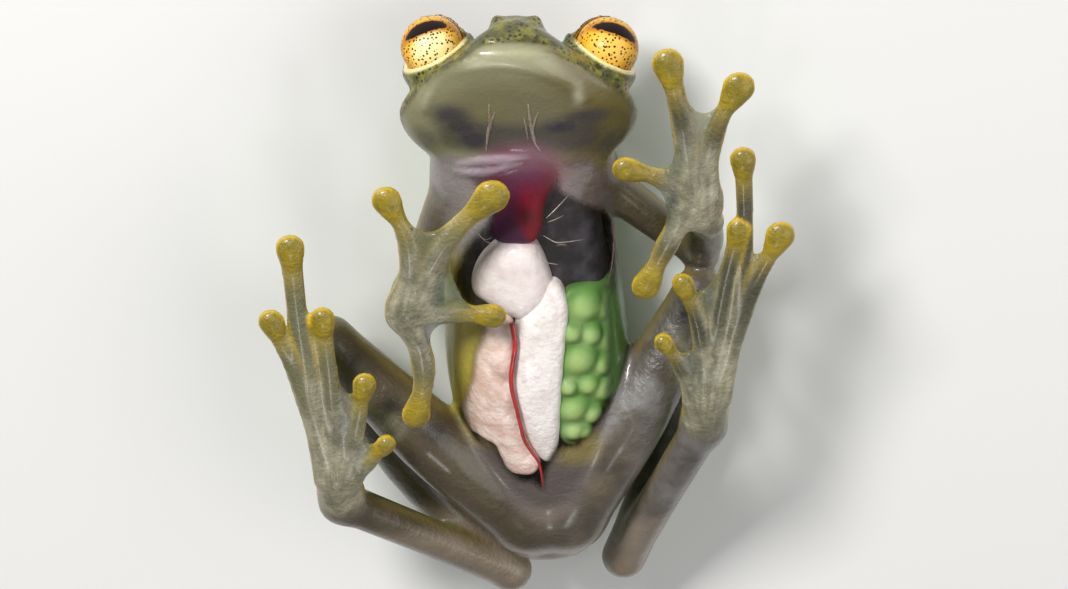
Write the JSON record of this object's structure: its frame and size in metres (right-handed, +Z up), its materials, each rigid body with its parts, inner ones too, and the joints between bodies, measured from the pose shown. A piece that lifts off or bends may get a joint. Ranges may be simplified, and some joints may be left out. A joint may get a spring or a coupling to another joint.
{
  "type": "glass frog model",
  "caption": "Life-size glass frog lying belly up, hands and feet raised as on clear glass, with the heart, liver, gut and eggs showing through its belly.",
  "frame": {"origin": "middle of the box round the frog, on the floor that its back rests on", "axes": "+Y towards the snout, +X to the frog's left side, +Z up, out of the belly and towards the soles"},
  "size_m": [0.0218, 0.028, 0.0079],
  "materials": {
    "head_skin": "moist skin, olive green with dark specks above and pale below",
    "belly_skin": "moist clear skin",
    "limb_skin": "moist translucent skin, grey brown with yellow edges",
    "hand_skin": "moist translucent skin with yellow pads and edges",
    "eye": "golden iris with a dark pupil under a clear cornea",
    "heart": "wet crimson",
    "liver": "wet white",
    "gut": "wet pink cream",
    "vein": "wet red",
    "eggs": "wet green"
  },
  "bodies": {
    "root": {"head": "head_skin", "lower_jaw": "head_skin", "eye_left": "eye", "eye_right": "eye", "torso": "belly_skin", "heart": "heart", "liver": "liver", "stomach": "liver", "intestine": "gut", "belly_vein": "vein", "eggs": "eggs", "upper_arm_left": "limb_skin", "upper_arm_right": "limb_skin", "forearm_left": "limb_skin", "forearm_right": "limb_skin", "hand_left": "hand_skin", "hand_right": "hand_skin", "thigh_left": "limb_skin", "thigh_right": "limb_skin", "shank_left": "limb_skin", "shank_right": "limb_skin", "tarsus_left": "limb_skin", "tarsus_right": "limb_skin", "foot_left": "hand_skin", "foot_right": "hand_skin"}
  },
  "joints": []
}
